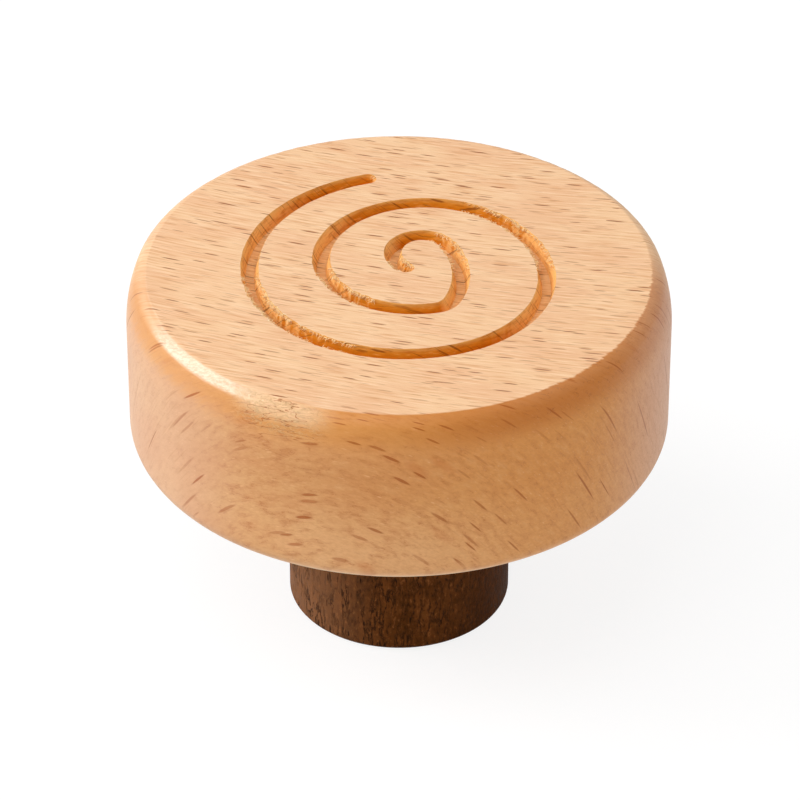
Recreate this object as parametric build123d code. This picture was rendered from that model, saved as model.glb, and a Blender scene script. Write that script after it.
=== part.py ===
from build123d import *
import math
import os

# A turned cabinet knob, in millimetres. The origin is the centre of the stem's base, and +Z points
# away from the cupboard door, up through the middle of the head.

# Beech head: a disc whose flat face ends in a crisp crease. Its edge is a tight round from the crease
# to a shoulder, and a long one from there down to the straight side.
HEAD_DIAMETER = 50.0
HEAD_THICKNESS = 17.2
FACE_EDGE_INSET = 1.9
FACE_EDGE_DEPTH = 5.1
SHOULDER_INSET = 0.7
SHOULDER_DEPTH = 1.15
HEAD_UNDER_ROUND = 1.9

# Walnut stem: a plain cylinder with a tenon turned on its upper end
STEM_DIAMETER = 20.8
STEM_LENGTH = 18.6
STEM_FOOT_ROUND = 0.6
TENON_DIAMETER = 12.0
TENON_LENGTH = 9.0
TENON_CHAMFER = 0.8

# The head's socket is wider and deeper than the tenon by the room that the glue takes
GLUE_LINE = 0.05
GLUE_POCKET = 0.6
SOCKET_MOUTH_CHAMFER = 0.4

# Brass insert, pressed into the stem's base for an M4 screw. Its bore is the thread's inner diameter.
INSERT_DIAMETER = 6.2
INSERT_LENGTH = 10.0
INSERT_SET_BACK = 0.3
INSERT_BORE = 3.3
INSERT_BORE_CHAMFER = 0.35
INSERT_RIM_CHAMFER = 0.2
INSERT_NECK_LENGTH = 1.4
INSERT_LEAD_LENGTH = 1.2
INSERT_LEAD_CHAMFER = 0.3
INSERT_MOUTH_CHAMFER = 0.4

# Straight knurls in two bands around the insert. Their lands are the insert's full diameter.
KNURL_COUNT = 24
KNURL_DEPTH = 0.3
KNURL_LAND = 0.22
NECK_BELOW_KNURL = 0.1

# Beyond the insert the stem is drilled to clear the end of the screw
SCREW_CLEARANCE_DIAMETER = 4.5
SCREW_CLEARANCE_LENGTH = 6.0
DRILL_POINT_ANGLE = 118.0

# Spiral groove in the face, cut by a tapered bit. It runs clockwise and outwards as arcs that
# each leave in the direction in which the last one ended: a radius, then degrees of turn.
GROOVE_WIDTH = 1.6
GROOVE_FLOOR_WIDTH = 0.8
GROOVE_DEPTH = 1.4
GROOVE_TO_CREASE = 6.45
SPIRAL_START = (0.6, 0.35)
SPIRAL_START_HEADING = 141.0
SPIRAL_ARCS = [
    (3.2, 91.0),
    (2.5, 111.0),
    (11.0, 52.0),
    (2.0, 53.0),
    (8.5, 110.0),
    (9.5, 117.0),
    (13.0, 65.0),
    (12.5, 63.0),
    (14.0, 87.0),
    (15.5, 94.0),
]

# A cutting tool reaches this far past the surface that it cuts
CUT_OVERRUN = 0.5

FULL_TURN = 360.0
HALF_TURN = 180.0
QUARTER_TURN = 90.0

head_radius = HEAD_DIAMETER / 2
face_radius = head_radius - FACE_EDGE_INSET
head_bottom = STEM_LENGTH
head_top = head_bottom + HEAD_THICKNESS
stem_radius = STEM_DIAMETER / 2
tenon_radius = TENON_DIAMETER / 2
tenon_top = STEM_LENGTH + TENON_LENGTH
insert_radius = INSERT_DIAMETER / 2
insert_bottom = INSERT_SET_BACK
insert_top = insert_bottom + INSERT_LENGTH


def turned(outline):
    """A solid of revolution about Z, from its outline drawn as (radius, height)."""
    return revolve(Plane.XZ * make_face(outline), Axis.Z)


def head_blank():
    under_flat = head_radius - HEAD_UNDER_ROUND
    under_round_top = head_bottom + HEAD_UNDER_ROUND
    side_top = head_top - FACE_EDGE_DEPTH
    shoulder = (head_radius - SHOULDER_INSET, head_top - SHOULDER_DEPTH)
    underside = Line((0, head_bottom), (under_flat, head_bottom))
    under_round = TangentArc((under_flat, head_bottom), (head_radius, under_round_top), tangent=(1, 0))
    side = Line((head_radius, under_round_top), (head_radius, side_top))
    flank = TangentArc((head_radius, side_top), shoulder, tangent=(0, 1))
    face_edge = TangentArc(shoulder, (face_radius, head_top), tangent=flank % 1)
    face = Polyline((face_radius, head_top), (0, head_top), (0, head_bottom))
    return turned([underside, under_round, side, flank, face_edge, face])


def socket_tool():
    """The blind socket for the tenon, with a chamfered mouth."""
    radius = tenon_radius + GLUE_LINE
    mouth = radius + SOCKET_MOUTH_CHAMFER
    end = tenon_top + GLUE_POCKET
    outline = Polyline(
        (0, head_bottom - CUT_OVERRUN),
        (mouth, head_bottom - CUT_OVERRUN),
        (mouth, head_bottom),
        (radius, head_bottom + SOCKET_MOUTH_CHAMFER),
        (radius, end),
        (0, end),
        close=True,
    )
    return turned(outline)


def walk_spiral(scale):
    """Each arc's start, heading, radius and turn, and then the place and heading at the outer end."""
    place = Vector(*SPIRAL_START) * scale
    heading = SPIRAL_START_HEADING
    stations = []
    for radius, turn in SPIRAL_ARCS:
        stations.append((place, heading, radius * scale, turn))
        to_centre = Vector(radius * scale, 0).rotate(Axis.Z, heading - QUARTER_TURN)
        place = place + to_centre - to_centre.rotate(Axis.Z, -turn)
        heading = heading - turn
    return stations, place, heading


def cross_section(place, heading):
    """The upright plane across the groove: its x points to the right of the heading, and its y up."""
    forward = Vector(1, 0).rotate(Axis.Z, heading)
    to_right = Vector(1, 0).rotate(Axis.Z, heading - QUARTER_TURN)
    return Plane(origin=(place.X, place.Y, head_top), x_dir=to_right, z_dir=-forward)


def bit_outline(left_share):
    """The bit's outline right of its axis, and left of it too where left_share is 1."""
    wall_slope = (GROOVE_WIDTH - GROOVE_FLOOR_WIDTH) / 2 / GROOVE_DEPTH
    floor_half = GROOVE_FLOOR_WIDTH / 2
    upper_half = GROOVE_WIDTH / 2 + wall_slope * CUT_OVERRUN
    outline = Polyline(
        (-floor_half * left_share, -GROOVE_DEPTH),
        (floor_half, -GROOVE_DEPTH),
        (upper_half, CUT_OVERRUN),
        (-upper_half * left_share, CUT_OVERRUN),
        close=True,
    )
    return make_face(outline)


def groove_tool():
    """All that the bit sweeps: a revolved stretch for each arc, and the bit's own round at both ends."""
    drawn_end = walk_spiral(1.0)[1]
    reach = face_radius - GROOVE_TO_CREASE - GROOVE_WIDTH / 2
    stations, last_place, last_heading = walk_spiral(reach / drawn_end.length)
    first_place, first_heading = stations[0][:2]

    tool = []
    for place, heading, radius, turn in stations:
        section = cross_section(place, heading)
        centre = place + section.x_dir * radius
        tool.append(revolve(section * bit_outline(1), Axis(centre, (0, 0, -1)), turn))

    inner_half = cross_section(first_place, first_heading) * bit_outline(0)
    outer_half = cross_section(last_place, last_heading) * bit_outline(0)
    tool.append(revolve(inner_half, Axis(first_place, (0, 0, -1)), HALF_TURN))
    tool.append(revolve(outer_half, Axis(last_place, (0, 0, 1)), HALF_TURN))
    return Part() + tool


def make_head():
    return head_blank() - socket_tool() - groove_tool()


def make_stem():
    clearance_radius = SCREW_CLEARANCE_DIAMETER / 2
    clearance_end = insert_top + SCREW_CLEARANCE_LENGTH
    drill_point = clearance_radius / math.tan(math.radians(DRILL_POINT_ANGLE / 2))
    mouth_radius = insert_radius + INSERT_MOUTH_CHAMFER
    foot_flat = stem_radius - STEM_FOOT_ROUND
    base = Line((mouth_radius, 0), (foot_flat, 0))
    foot_round = TangentArc((foot_flat, 0), (stem_radius, STEM_FOOT_ROUND), tangent=(1, 0))
    side_tenon_and_bore = Polyline(
        (stem_radius, STEM_FOOT_ROUND),
        (stem_radius, STEM_LENGTH),
        (tenon_radius, STEM_LENGTH),
        (tenon_radius, tenon_top - TENON_CHAMFER),
        (tenon_radius - TENON_CHAMFER, tenon_top),
        (0, tenon_top),
        (0, clearance_end + drill_point),
        (clearance_radius, clearance_end),
        (clearance_radius, insert_top),
        (insert_radius, insert_top),
        (insert_radius, INSERT_MOUTH_CHAMFER),
        (mouth_radius, 0),
    )
    return turned([base, foot_round, side_tenon_and_bore])


def insert_blank():
    """The turned insert before knurling: two bands with a neck between them, and a slimmer lead."""
    bore = INSERT_BORE / 2
    wide_bore = bore + INSERT_BORE_CHAMFER
    neck = insert_radius - KNURL_DEPTH - NECK_BELOW_KNURL
    lead_bottom = insert_top - INSERT_LEAD_LENGTH
    neck_middle = (insert_bottom + lead_bottom) / 2
    neck_bottom = neck_middle - INSERT_NECK_LENGTH / 2
    neck_top = neck_middle + INSERT_NECK_LENGTH / 2
    outline = Polyline(
        (bore, insert_bottom + INSERT_BORE_CHAMFER),
        (wide_bore, insert_bottom),
        (insert_radius - INSERT_RIM_CHAMFER, insert_bottom),
        (insert_radius, insert_bottom + INSERT_RIM_CHAMFER),
        (insert_radius, neck_bottom),
        (neck, neck_bottom),
        (neck, neck_top),
        (insert_radius, neck_top),
        (insert_radius, lead_bottom),
        (neck, lead_bottom),
        (neck, insert_top - INSERT_LEAD_CHAMFER),
        (neck - INSERT_LEAD_CHAMFER, insert_top),
        (wide_bore, insert_top),
        (bore, insert_top - INSERT_BORE_CHAMFER),
        close=True,
    )
    return turned(outline)


def knurl_notch():
    """One V cut along the whole insert, between two lands."""
    pitch = math.tau * insert_radius / KNURL_COUNT
    half_opening = (pitch - KNURL_LAND) / 2
    overrun_half = half_opening * (KNURL_DEPTH + CUT_OVERRUN) / KNURL_DEPTH
    root = insert_radius - KNURL_DEPTH
    outside = insert_radius + CUT_OVERRUN
    outline = Polyline((root, 0), (outside, overrun_half), (outside, -overrun_half), close=True)
    notch = extrude(make_face(outline), INSERT_LENGTH)
    return Pos(0, 0, insert_bottom) * notch


def make_threaded_insert():
    notch = knurl_notch()
    notches = [Rot(0, 0, FULL_TURN / KNURL_COUNT * index) * notch for index in range(KNURL_COUNT)]
    return insert_blank() - notches


os.makedirs("parts", exist_ok=True)
export_step(make_head(), "parts/head.step")
export_step(make_stem(), "parts/stem.step")
export_step(make_threaded_insert(), "parts/threaded_insert.step")
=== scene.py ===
import math
import random
from collections import namedtuple

import bmesh
import bpy
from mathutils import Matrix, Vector, geometry, noise


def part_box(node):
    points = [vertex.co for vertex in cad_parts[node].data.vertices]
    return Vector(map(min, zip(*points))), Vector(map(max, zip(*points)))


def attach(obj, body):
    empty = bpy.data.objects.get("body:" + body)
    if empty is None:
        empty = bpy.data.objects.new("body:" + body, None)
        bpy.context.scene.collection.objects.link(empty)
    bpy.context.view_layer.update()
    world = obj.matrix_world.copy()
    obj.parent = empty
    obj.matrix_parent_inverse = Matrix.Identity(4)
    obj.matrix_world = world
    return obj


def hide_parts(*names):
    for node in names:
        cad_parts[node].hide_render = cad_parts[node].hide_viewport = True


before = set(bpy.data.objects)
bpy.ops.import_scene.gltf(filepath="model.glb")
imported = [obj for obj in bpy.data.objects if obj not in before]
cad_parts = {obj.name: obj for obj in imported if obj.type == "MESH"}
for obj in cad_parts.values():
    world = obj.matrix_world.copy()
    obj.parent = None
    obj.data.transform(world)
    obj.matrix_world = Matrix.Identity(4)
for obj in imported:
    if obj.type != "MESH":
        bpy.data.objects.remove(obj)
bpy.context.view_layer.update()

# The knob stands on its stem, +Z goes up through its head, and the camera looks along +Y.
# Lengths are in metres, and MM turns millimetres into them.
MM = 0.001

# Where the pieces are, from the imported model
head_low, head_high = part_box("head")
insert_low, insert_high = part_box("threaded_insert")
tenon_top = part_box("stem")[1].z
head_radius = head_high.y
head_top = head_high.z
head_bottom = head_low.z
insert_bottom = insert_low.z
insert_top = insert_high.z

# The head's form, as in the solids
FACE_EDGE_INSET = 1.9 * MM
FACE_EDGE_DEPTH = 5.1 * MM
SHOULDER_INSET = 0.7 * MM
SHOULDER_DEPTH = 1.15 * MM
HEAD_UNDER_ROUND = 1.9 * MM
SOCKET_RADIUS = 6.05 * MM
SOCKET_END_GAP = 0.6 * MM
SOCKET_MOUTH_CHAMFER = 0.4 * MM
GROOVE_WIDTH = 1.6 * MM
GROOVE_FLOOR_WIDTH = 0.8 * MM
GROOVE_DEPTH = 1.4 * MM
SPIRAL_START = (0.6 * MM, 0.35 * MM)
SPIRAL_START_HEADING = 141.0
SPIRAL_ARCS_IN_MM = [
    (3.2, 91.0),
    (2.5, 111.0),
    (11.0, 52.0),
    (2.0, 53.0),
    (8.5, 110.0),
    (9.5, 117.0),
    (13.0, 65.0),
    (12.5, 63.0),
    (14.0, 87.0),
    (15.5, 94.0),
]

# The threaded insert's form, as in the solids, with the M4 thread that the solids leave out. The
# thread's flats are shares of its pitch.
INSERT_RADIUS = 3.1 * MM
INSERT_BORE_CHAMFER = 0.35 * MM
INSERT_RIM_CHAMFER = 0.2 * MM
INSERT_NECK_LENGTH = 1.4 * MM
INSERT_LEAD_LENGTH = 1.2 * MM
INSERT_LEAD_CHAMFER = 0.3 * MM
KNURL_COUNT = 24
KNURL_DEPTH = 0.3 * MM
KNURL_LAND = 0.22 * MM
NECK_BELOW_KNURL = 0.1 * MM
THREAD_PITCH = 0.7 * MM
THREAD_INNER_RADIUS = 1.65 * MM
THREAD_OUTER_RADIUS = 2.0 * MM
THREAD_CREST_FLAT = 0.25
THREAD_ROOT_FLAT = 0.125

# Signs of hand finishing that the solids leave out. The crease is broken by a narrow facet, which sanding
# made broader at the front left. Each facet is how far it reaches over the face and down the side. Its
# corners are rounded over FACET_CORNER of its width, and the lower one's rounding ends FACET_FOOT of
# that length further down.
PLAIN_FACET = (0.06 * MM, 0.02 * MM)
SANDED_FACET = (0.05 * MM, 0.62 * MM)
SANDED_AZIMUTH = 221.0
SANDED_SPREAD = 18.0
FACET_CORNER = 0.22
FACET_FOOT = 0.8

# The sanding left the wood near the crease uneven, most of all at one rough place. SUNK_WAY is the
# inward and the downward share of a sunk point's move.
CREASE_WAVE = 0.05 * MM
CREASE_WAVES_PER_MM = 0.9
ROUGH_AZIMUTH = 244.0
ROUGH_SPREAD = 8.0
ROUGH_WAVE = 0.16 * MM
ROUGH_WAVES_PER_MM = 1.7
WAVE_START = 0.05 * MM
WAVE_REACH = 0.9 * MM
WAVE_END = 3.0 * MM
SUNK_WAY = (0.6, 0.8)

# The bit tore the wood where the groove crosses its fibres one way. The tears come in clumps, and the
# torn wood reaches from the lip over a band of the face.
FIBRE_ANGLE = -10.0
TEAR_SHARPNESS = 1.5
CLUMPS_PER_MM = 0.55
CLUMP_MIDDLE = 0.75
CLUMP_SWING = 1.1
CLUMP_SEED = Vector((0, 0, 3))
TORN_BAND = 0.3 * MM
TORN_LOSS_AT_FLOOR = 0.7
GROOVE_LIP = 0.025 * MM
LIP_CORNER = 0.3
LIP_WAVE = 0.03 * MM
LIP_WAVES_PER_MM = 1.3
LIP_TEAR = 0.24 * MM
LIP_TEARS_PER_MM = 1.9
FINE_TEARS_PER_MM = 4.2
FINE_TEAR = 0.4
WALL_WAVE = 0.07 * MM
WALL_CHIPS_PER_MM = 2.6
WALL_CHIP = 0.3
TORN_WALL_CHIP = 1.7
WALL_SEED = Vector((9, 9, 9))

# Fibres that the bit left standing out from the groove's lips. Swings and bends are to either side, and
# bends are in thicknesses of the fibre.
FIBRE_SEED = 7
FIBRE_COUNT = 2200
FIBRE_LENGTH = (0.15 * MM, 0.6 * MM)
FIBRE_THICKNESS = (0.05 * MM, 0.11 * MM)
FIBRE_LEAST_TEARING = 0.25
FIBRE_SWING = 65
FIBRE_MIDDLE_BEND = 2
FIBRE_TIP_BEND = 4
FIBRE_ROOT = 0.02 * MM
FIBRE_MOST_SUNK_IN_MM = 0.12
FIBRE_BELOW_FACE = 0.004 * MM
FIBRE_STEEPEST_DIP = 0.5
FIBRE_MIDDLE_DIP = 0.3
FIBRE_MIDDLE_TAPER = 0.7
FIBRE_KEEL = 0.8

# How finely the meshes are divided
STATION_STEP = 0.13 * MM
END_STEPS = 14
STEPS_AROUND = 720
WALL_STEPS = 7
CORNER_STEPS = 4
TIGHT_ROUND_STEPS = 12
FLANK_STEPS = 16
SIDE_STEPS = 6
UNDER_ROUND_STEPS = 8
THREAD_ROWS_PER_PITCH = 12
MERGE_DISTANCE = 1e-9


def colour(red, green, blue):
    """A colour as picked on a screen, from 0 to 255, in the linear values that shaders take."""
    def linear(value):
        share = value / 255
        return share / 12.92 if share <= 0.04045 else ((share + 0.055) / 1.055) ** 2.4
    return (linear(red), linear(green), linear(blue), 1.0)


class MeshDraft:
    """Collects the corners and faces of one mesh, row by row, and how torn the wood is at each corner."""

    def __init__(self):
        self.corners = []
        self.faces = []
        self.torn = []

    def row(self, points, torn=None):
        first = len(self.corners)
        self.corners.extend(points)
        self.torn.extend(torn or [0.0] * len(points))
        return list(range(first, len(self.corners)))

    def bridge(self, row_a, row_b, closed=True):
        count = len(row_a)
        for i in range(count if closed else count - 1):
            j = (i + 1) % count
            self.faces.append((row_a[i], row_a[j], row_b[j], row_b[i]))

    def object(self, name):
        mesh = bpy.data.meshes.new(name)
        mesh.from_pydata(self.corners, [], self.faces)
        shape = bmesh.new()
        shape.from_mesh(mesh)
        bmesh.ops.recalc_face_normals(shape, faces=shape.faces)
        shape.to_mesh(mesh)
        shape.free()
        mesh.polygons.foreach_set("use_smooth", [True] * len(mesh.polygons))
        mesh.attributes.new("torn", "FLOAT", "POINT").data.foreach_set("value", self.torn)
        piece = bpy.data.objects.new(name, mesh)
        bpy.context.scene.collection.objects.link(piece)
        return piece


def direction(degrees):
    return Vector((math.cos(math.radians(degrees)), math.sin(math.radians(degrees))))


def hump(angle, middle, spread):
    """1 where an angle in degrees is at the middle, falling to 0 some spreads away."""
    off = (angle - middle + 180) % 360 - 180
    return math.exp(-(off / spread) ** 2)


def spiral_stations():
    """Even steps along the groove's centreline, each a place and a heading in degrees."""
    place = Vector(SPIRAL_START)
    heading = SPIRAL_START_HEADING
    stations = []
    for radius_in_mm, turn in SPIRAL_ARCS_IN_MM:
        radius = radius_in_mm * MM
        centre = place + radius * direction(heading - 90)
        steps = round(radius * math.radians(turn) / STATION_STEP)
        for i in range(steps):
            angle = heading - turn * i / steps
            stations.append((centre - radius * direction(angle - 90), angle))
        heading -= turn
        place = centre - radius * direction(heading - 90)
    stations.append((place, heading))
    return stations


def groove_outline(stations):
    """Points once round the groove: a place on the centreline, and the angle of the way out from it."""
    last_place, last_heading = stations[-1]
    first_place, first_heading = stations[0]
    outline = [(place, heading - 90) for place, heading in stations]
    outline += [(last_place, last_heading - 90 + 180 * i / END_STEPS) for i in range(1, END_STEPS)]
    outline += [(place, heading + 90) for place, heading in reversed(stations)]
    outline += [(first_place, first_heading + 90 + 180 * i / END_STEPS) for i in range(1, END_STEPS)]
    return outline


def tearing(place, way_out):
    """How much the bit tore the fibres, from 0 to 1: in clumps, where the groove runs down to the right."""
    by_angle = max(0.0, math.sin(math.radians(2 * (way_out - FIBRE_ANGLE)))) ** TEAR_SHARPNESS
    clump = CLUMP_MIDDLE + CLUMP_SWING * noise.noise(place.to_3d() / MM * CLUMPS_PER_MM + CLUMP_SEED)
    return min(1.0, max(0.0, by_angle * clump))


def lip_shift(place, way_out):
    """How far the groove's lip is pushed outwards at a point of its outline."""
    at = place.to_3d() / MM
    side = Vector((0, 0, direction(way_out).x))
    wave = noise.noise(at * LIP_WAVES_PER_MM + side) * LIP_WAVE
    broad = noise.noise(at * LIP_TEARS_PER_MM + side)
    fine = noise.noise(at * FINE_TEARS_PER_MM + side)
    return wave + (broad + FINE_TEAR * fine) * LIP_TEAR * tearing(place, way_out)


def wall_shift(place, way_out, depth):
    """How far the groove's wall is pushed outwards below its lip, and nothing at the floor."""
    at = place.to_3d() / MM + Vector((0, 0, depth / MM))
    fade = math.sin(math.pi * depth / GROOVE_DEPTH)
    chips = noise.noise(at * WALL_CHIPS_PER_MM + WALL_SEED) * WALL_WAVE
    return chips * (WALL_CHIP + TORN_WALL_CHIP * tearing(place, way_out)) * fade


def arc_points(x, z, radius, start, end, steps):
    angles = [start + (end - start) * i / steps for i in range(steps + 1)]
    return [(x + radius * math.cos(a), z + radius * math.sin(a)) for a in angles]


def soft_corner(before, corner, after):
    """A corner rounded by a parabola between the points before and after it."""
    points = []
    for i in range(CORNER_STEPS + 1):
        t = i / CORNER_STEPS
        spot = before * (1 - t) ** 2 + corner * (2 * t * (1 - t)) + after * t ** 2
        points.append((spot.x, spot.y))
    return points


def head_profile(angle):
    """The head's outline from the crease to the socket's end at an angle about Z, as (radius, height)."""
    flank_rise = FACE_EDGE_DEPTH - SHOULDER_DEPTH
    flank_radius = (SHOULDER_INSET ** 2 + flank_rise ** 2) / (2 * SHOULDER_INSET)
    flank_middle = Vector((head_radius - flank_radius, head_top - FACE_EDGE_DEPTH))
    shoulder = Vector((head_radius - SHOULDER_INSET, head_top - SHOULDER_DEPTH))
    way_out = (shoulder - flank_middle) / flank_radius
    to_crease = Vector((head_radius - FACE_EDGE_INSET, head_top)) - shoulder
    tight_radius = -to_crease.length_squared / (2 * to_crease.dot(way_out))
    tight_middle = shoulder - way_out * tight_radius
    shoulder_angle = math.atan2(way_out.y, way_out.x)
    under_x = head_radius - HEAD_UNDER_ROUND
    under_z = head_bottom + HEAD_UNDER_ROUND
    socket_end = tenon_top + SOCKET_END_GAP

    def tight_angle(depth):
        return math.asin((head_top - depth - tight_middle.y) / tight_radius)

    def on_tight_round(depth):
        angle_up = tight_angle(depth)
        return tight_middle + tight_radius * Vector((math.cos(angle_up), math.sin(angle_up)))

    sanded = hump(angle, SANDED_AZIMUTH, SANDED_SPREAD)
    over_face = PLAIN_FACET[0] + (SANDED_FACET[0] - PLAIN_FACET[0]) * sanded
    down_side = PLAIN_FACET[1] + (SANDED_FACET[1] - PLAIN_FACET[1]) * sanded
    facet_start = Vector((head_radius - FACE_EDGE_INSET - over_face, head_top))
    facet_end = on_tight_round(down_side)
    corner = (facet_end - facet_start) * FACET_CORNER
    below = down_side + corner.length * FACET_FOOT
    profile = soft_corner(facet_start - Vector((corner.length, 0)), facet_start, facet_start + corner)
    profile += soft_corner(facet_end - corner, facet_end, on_tight_round(below))
    below_angle = tight_angle(below)
    profile += arc_points(*tight_middle, tight_radius, below_angle, shoulder_angle, TIGHT_ROUND_STEPS)[1:]
    profile += arc_points(*flank_middle, flank_radius, shoulder_angle, 0, FLANK_STEPS)[1:]
    for i in range(1, SIDE_STEPS):
        profile.append((head_radius, flank_middle.y + (under_z - flank_middle.y) * i / SIDE_STEPS))
    profile += arc_points(under_x, under_z, HEAD_UNDER_ROUND, 0, -math.pi / 2, UNDER_ROUND_STEPS)
    profile += [
        (SOCKET_RADIUS + SOCKET_MOUTH_CHAMFER, head_bottom),
        (SOCKET_RADIUS, head_bottom + SOCKET_MOUTH_CHAMFER),
        (SOCKET_RADIUS, socket_end),
    ]
    return profile


def crease_wave(angle, radius, height):
    """How far a point near the crease lies below the smooth form: the sanding left it a little uneven."""
    near_crease = math.exp(-((head_top - height) / WAVE_REACH) ** 2)
    beyond_start = min(1.0, (head_top - height) / WAVE_START)
    at = (direction(angle) * radius).to_3d() / MM + Vector((0, 0, height / MM))
    at_rough_place = hump(angle, ROUGH_AZIMUTH, ROUGH_SPREAD)
    rough = ROUGH_WAVE * at_rough_place * noise.noise(at * ROUGH_WAVES_PER_MM)
    wave = CREASE_WAVE * noise.noise(at * CREASE_WAVES_PER_MM) + rough
    return abs(wave) * near_crease * beyond_start


def turned_rows(draft):
    """The turned surface's rows, from the crease down to the socket's end."""
    angles = [360 * i / STEPS_AROUND for i in range(STEPS_AROUND)]
    profiles = [head_profile(angle) for angle in angles]
    inwards, down = SUNK_WAY
    rows = []
    for level in range(len(profiles[0])):
        points = []
        for angle, profile in zip(angles, profiles):
            radius, height = profile[level]
            sunk = crease_wave(angle, radius, height) if height > head_top - WAVE_END else 0.0
            flat = (radius - sunk * inwards) * direction(angle)
            points.append((flat.x, flat.y, height - sunk * down))
        rows.append(draft.row(points))
    return rows


def groove_levels():
    """The groove's cross-section from lip to floor, as (distance from the centreline, depth)."""
    half_top = GROOVE_WIDTH / 2
    half_floor = GROOVE_FLOOR_WIDTH / 2
    levels = [(half_top + GROOVE_LIP, 0.0), (half_top + GROOVE_LIP * LIP_CORNER, GROOVE_LIP * LIP_CORNER)]
    for i in range(WALL_STEPS + 1):
        share = i / WALL_STEPS
        depth = GROOVE_LIP + (GROOVE_DEPTH - GROOVE_LIP * 2) * share
        levels.append((half_top + (half_floor - half_top) * depth / GROOVE_DEPTH, depth))
    levels.append((half_floor - GROOVE_LIP, GROOVE_DEPTH))
    return levels


def groove_loop(draft, outline, shifts, distance, depth, torn_share):
    """One closed loop of the groove at a depth, or on the flat face beside it."""
    fade = 1 - depth / GROOVE_DEPTH
    points = []
    torn = []
    for (place, way_out), shift in zip(outline, shifts):
        out = distance + shift * fade + wall_shift(place, way_out, depth)
        flat = place + out * direction(way_out)
        points.append((flat.x, flat.y, head_top - depth))
        torn.append(tearing(place, way_out) * torn_share)
    return draft.row(points, torn)


def cut_groove(draft):
    """The groove's walls and floor. Returns a loop on the face beside the groove, and the groove's lip."""
    stations = spiral_stations()
    outline = groove_outline(stations)
    shifts = [lip_shift(place, way_out) for place, way_out in outline]
    unshifted = [0.0] * len(outline)
    band = groove_loop(draft, outline, unshifted, GROOVE_WIDTH / 2 + TORN_BAND, 0.0, 0.0)
    loops = []
    for distance, depth in groove_levels():
        torn_share = 1 - TORN_LOSS_AT_FLOOR * depth / GROOVE_DEPTH
        loops.append(groove_loop(draft, outline, shifts, distance, depth, torn_share))
    for upper, lower in zip(loops, loops[1:]):
        draft.bridge(upper, lower)

    # Strips across the floor, and a face under each of the bit's rounds
    count = len(stations)
    floor = loops[-1]
    right_side = floor[:count]
    left_side = list(reversed(floor[count + END_STEPS - 1:2 * count + END_STEPS - 1]))
    draft.bridge(right_side, left_side, closed=False)
    draft.faces.append(tuple(floor[count - 1:count + END_STEPS]))
    draft.faces.append(tuple(floor[2 * count + END_STEPS - 2:] + [floor[0]]))
    return band, loops[0]


def fill_face(draft, crease, band):
    """Triangles over the flat face, between the crease and the loop beside the groove."""
    border = crease + band
    flat_points = [Vector(draft.corners[i][:2]) for i in border]
    ring = list(range(len(crease)))
    hole = list(range(len(ring), len(border)))
    found = geometry.delaunay_2d_cdt(flat_points, [], [ring, hole], 1, MERGE_DISTANCE)
    triangles, origins, triangle_sources = found[2], found[3], found[5]
    for corners, sources in zip(triangles, triangle_sources):
        if 1 not in sources:
            draft.faces.append(tuple(border[origins[i][0]] for i in corners))


def make_head():
    """The beech head: flat face, spiral groove, turned side and socket, as one closed mesh.

    Its first material is for the whole head, and its second for the cut wood in the groove.
    """
    draft = MeshDraft()
    band, lip = cut_groove(draft)
    first_turned = len(draft.faces)
    rows = turned_rows(draft)
    for upper, lower in zip(rows, rows[1:]):
        draft.bridge(upper, lower)
    draft.faces.append(tuple(rows[-1]))
    first_flat = len(draft.faces)
    draft.bridge(band, lip)
    fill_face(draft, rows[0], band)

    head = draft.object("head_beech")
    give(head, beech(), cut_beech())
    for face in head.data.polygons:
        face.use_smooth = face.index < first_flat
        face.material_index = 1 if face.index < first_turned else 0
    return head


def add_fibre(draft, chance, place, way_out):
    """One slim tapered sliver, with a three-sided section, from the lip to a point over the groove."""
    length = chance.uniform(*FIBRE_LENGTH)
    thick = chance.uniform(*FIBRE_THICKNESS)
    half = GROOVE_WIDTH / 2 + lip_shift(place, way_out) + FIBRE_ROOT
    foot = place + half * direction(way_out)
    heading = way_out + 180 + chance.uniform(-FIBRE_SWING, FIBRE_SWING)
    along = direction(heading)
    across = direction(heading + 90)
    sink = chance.uniform(0.0, FIBRE_MOST_SUNK_IN_MM) * MM
    dip = length * chance.uniform(0.0, FIBRE_STEEPEST_DIP)
    middle_bend = chance.uniform(-FIBRE_MIDDLE_BEND, FIBRE_MIDDLE_BEND)
    middle = foot + along * length / 2 + across * thick * middle_bend
    tip = foot + along * length + across * thick * chance.uniform(-FIBRE_TIP_BEND, FIBRE_TIP_BEND)
    top = head_top - sink - FIBRE_BELOW_FACE
    rings = []
    for centre, height, size in [(foot, top, thick),
                                 (middle, top - dip * FIBRE_MIDDLE_DIP, thick * FIBRE_MIDDLE_TAPER)]:
        left = centre + across * size / 2
        right = centre - across * size / 2
        keel = (centre.x, centre.y, height - size * FIBRE_KEEL)
        rings.append(draft.row([(left.x, left.y, height), (right.x, right.y, height), keel]))
    draft.bridge(rings[0], rings[1])
    point = draft.row([(tip.x, tip.y, top - dip)])[0]
    for i in range(3):
        draft.faces.append((rings[1][i], rings[1][(i + 1) % 3], point))
    draft.faces.append(tuple(rings[0]))


def make_fibres():
    """Slim slivers that reach from the torn lips over the groove, just below the face."""
    draft = MeshDraft()
    chance = random.Random(FIBRE_SEED)
    outline = [spot for spot in groove_outline(spiral_stations()) if tearing(*spot) > FIBRE_LEAST_TEARING]
    for _ in range(FIBRE_COUNT):
        place, way_out = chance.choice(outline)
        if chance.random() <= tearing(place, way_out):
            add_fibre(draft, chance, place, way_out)
    fibres = draft.object("rim_fibres")
    fibres.data.shade_flat()
    return fibres


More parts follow.
